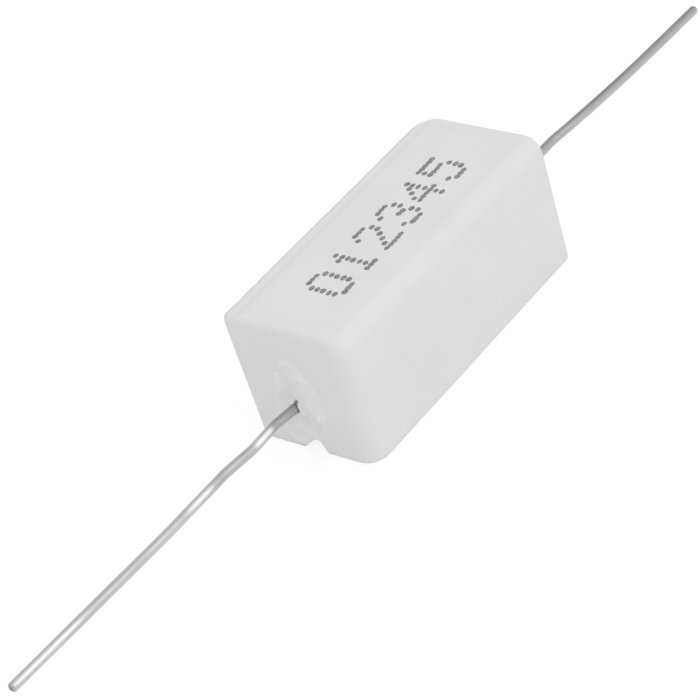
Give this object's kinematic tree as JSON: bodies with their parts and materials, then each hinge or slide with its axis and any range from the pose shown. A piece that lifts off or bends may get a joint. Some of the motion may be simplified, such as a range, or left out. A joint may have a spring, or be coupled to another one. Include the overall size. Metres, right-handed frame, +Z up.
{
  "type": "axial resistor",
  "caption": "Rectangular white ceramic-cased wirewound power resistor with a bare tinned lead from each end, the open underside filled with cement.",
  "frame": {"origin": "middle of the flat underside, where the cement closes the open side of the case", "axes": "+X along the leads towards the right lead, +Z up out of the printed top, +Y towards the left long side"},
  "size_m": [0.0725, 0.0094, 0.0099],
  "materials": {
    "case_ceramic": "matte",
    "cement": "matte",
    "core_ceramic": "matte",
    "resistance_alloy": "satin",
    "cap_steel": "satin",
    "tinned_wire": "satin"
  },
  "bodies": {
    "root": {"ceramic_case": "case_ceramic", "cement_fill": "cement", "core_rod": "core_ceramic", "resistance_wire": "resistance_alloy", "left_end_cap": "cap_steel", "right_end_cap": "cap_steel", "left_lead": "tinned_wire", "right_lead": "tinned_wire"}
  },
  "joints": []
}
